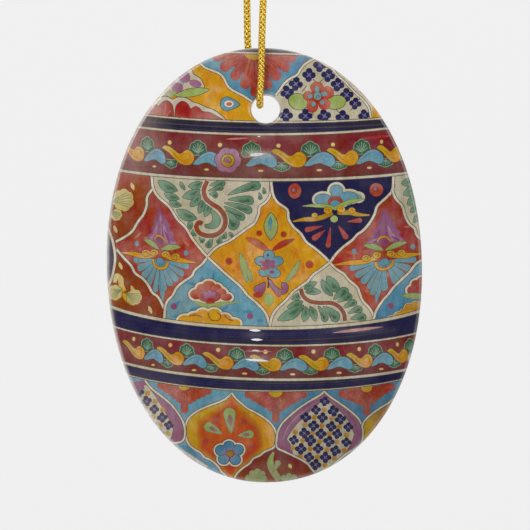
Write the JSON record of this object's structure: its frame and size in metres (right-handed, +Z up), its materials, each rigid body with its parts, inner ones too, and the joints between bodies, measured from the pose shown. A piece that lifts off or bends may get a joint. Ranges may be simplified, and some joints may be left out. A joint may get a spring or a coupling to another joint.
{
  "type": "oval porcelain hanging ornament",
  "caption": "Flat oval porcelain ornament with a colour print of hand-painted pottery on its face, hung from a knotted gold cord loop.",
  "frame": {"origin": "the hanging point: where a hook bears, inside the top of the cord loop and just under the knot", "axes": "+Z up along the hanging cord, -Y out of the printed face, +X to the right as the face is seen"},
  "size_m": [0.0553, 0.0062, 0.1291],
  "materials": {
    "glazed_porcelain": "white porcelain under a clear gloss glaze, with a colour print fired into the front face",
    "gold_cord": "thin round braid of gold metallic thread"
  },
  "bodies": {
    "knot": {"cord_knot": "gold_cord", "cord_tail_left": "gold_cord", "cord_tail_right": "gold_cord"},
    "cord": {"cord_loop": "gold_cord"},
    "ornament": {"ornament_plate": "glazed_porcelain"}
  },
  "joints": [
    {"name": "sway", "type": "hinge", "parent": "knot", "child": "cord", "pos_m": [0, 0, 0], "axis": [1, 0, 0], "range_deg": [-45, 45]},
    {"name": "swing", "type": "hinge", "parent": "cord", "child": "ornament", "pos_m": [0.00066, 0, -0.05], "axis": [0, 1, 0], "range_deg": [-60, 60]}
  ]
}
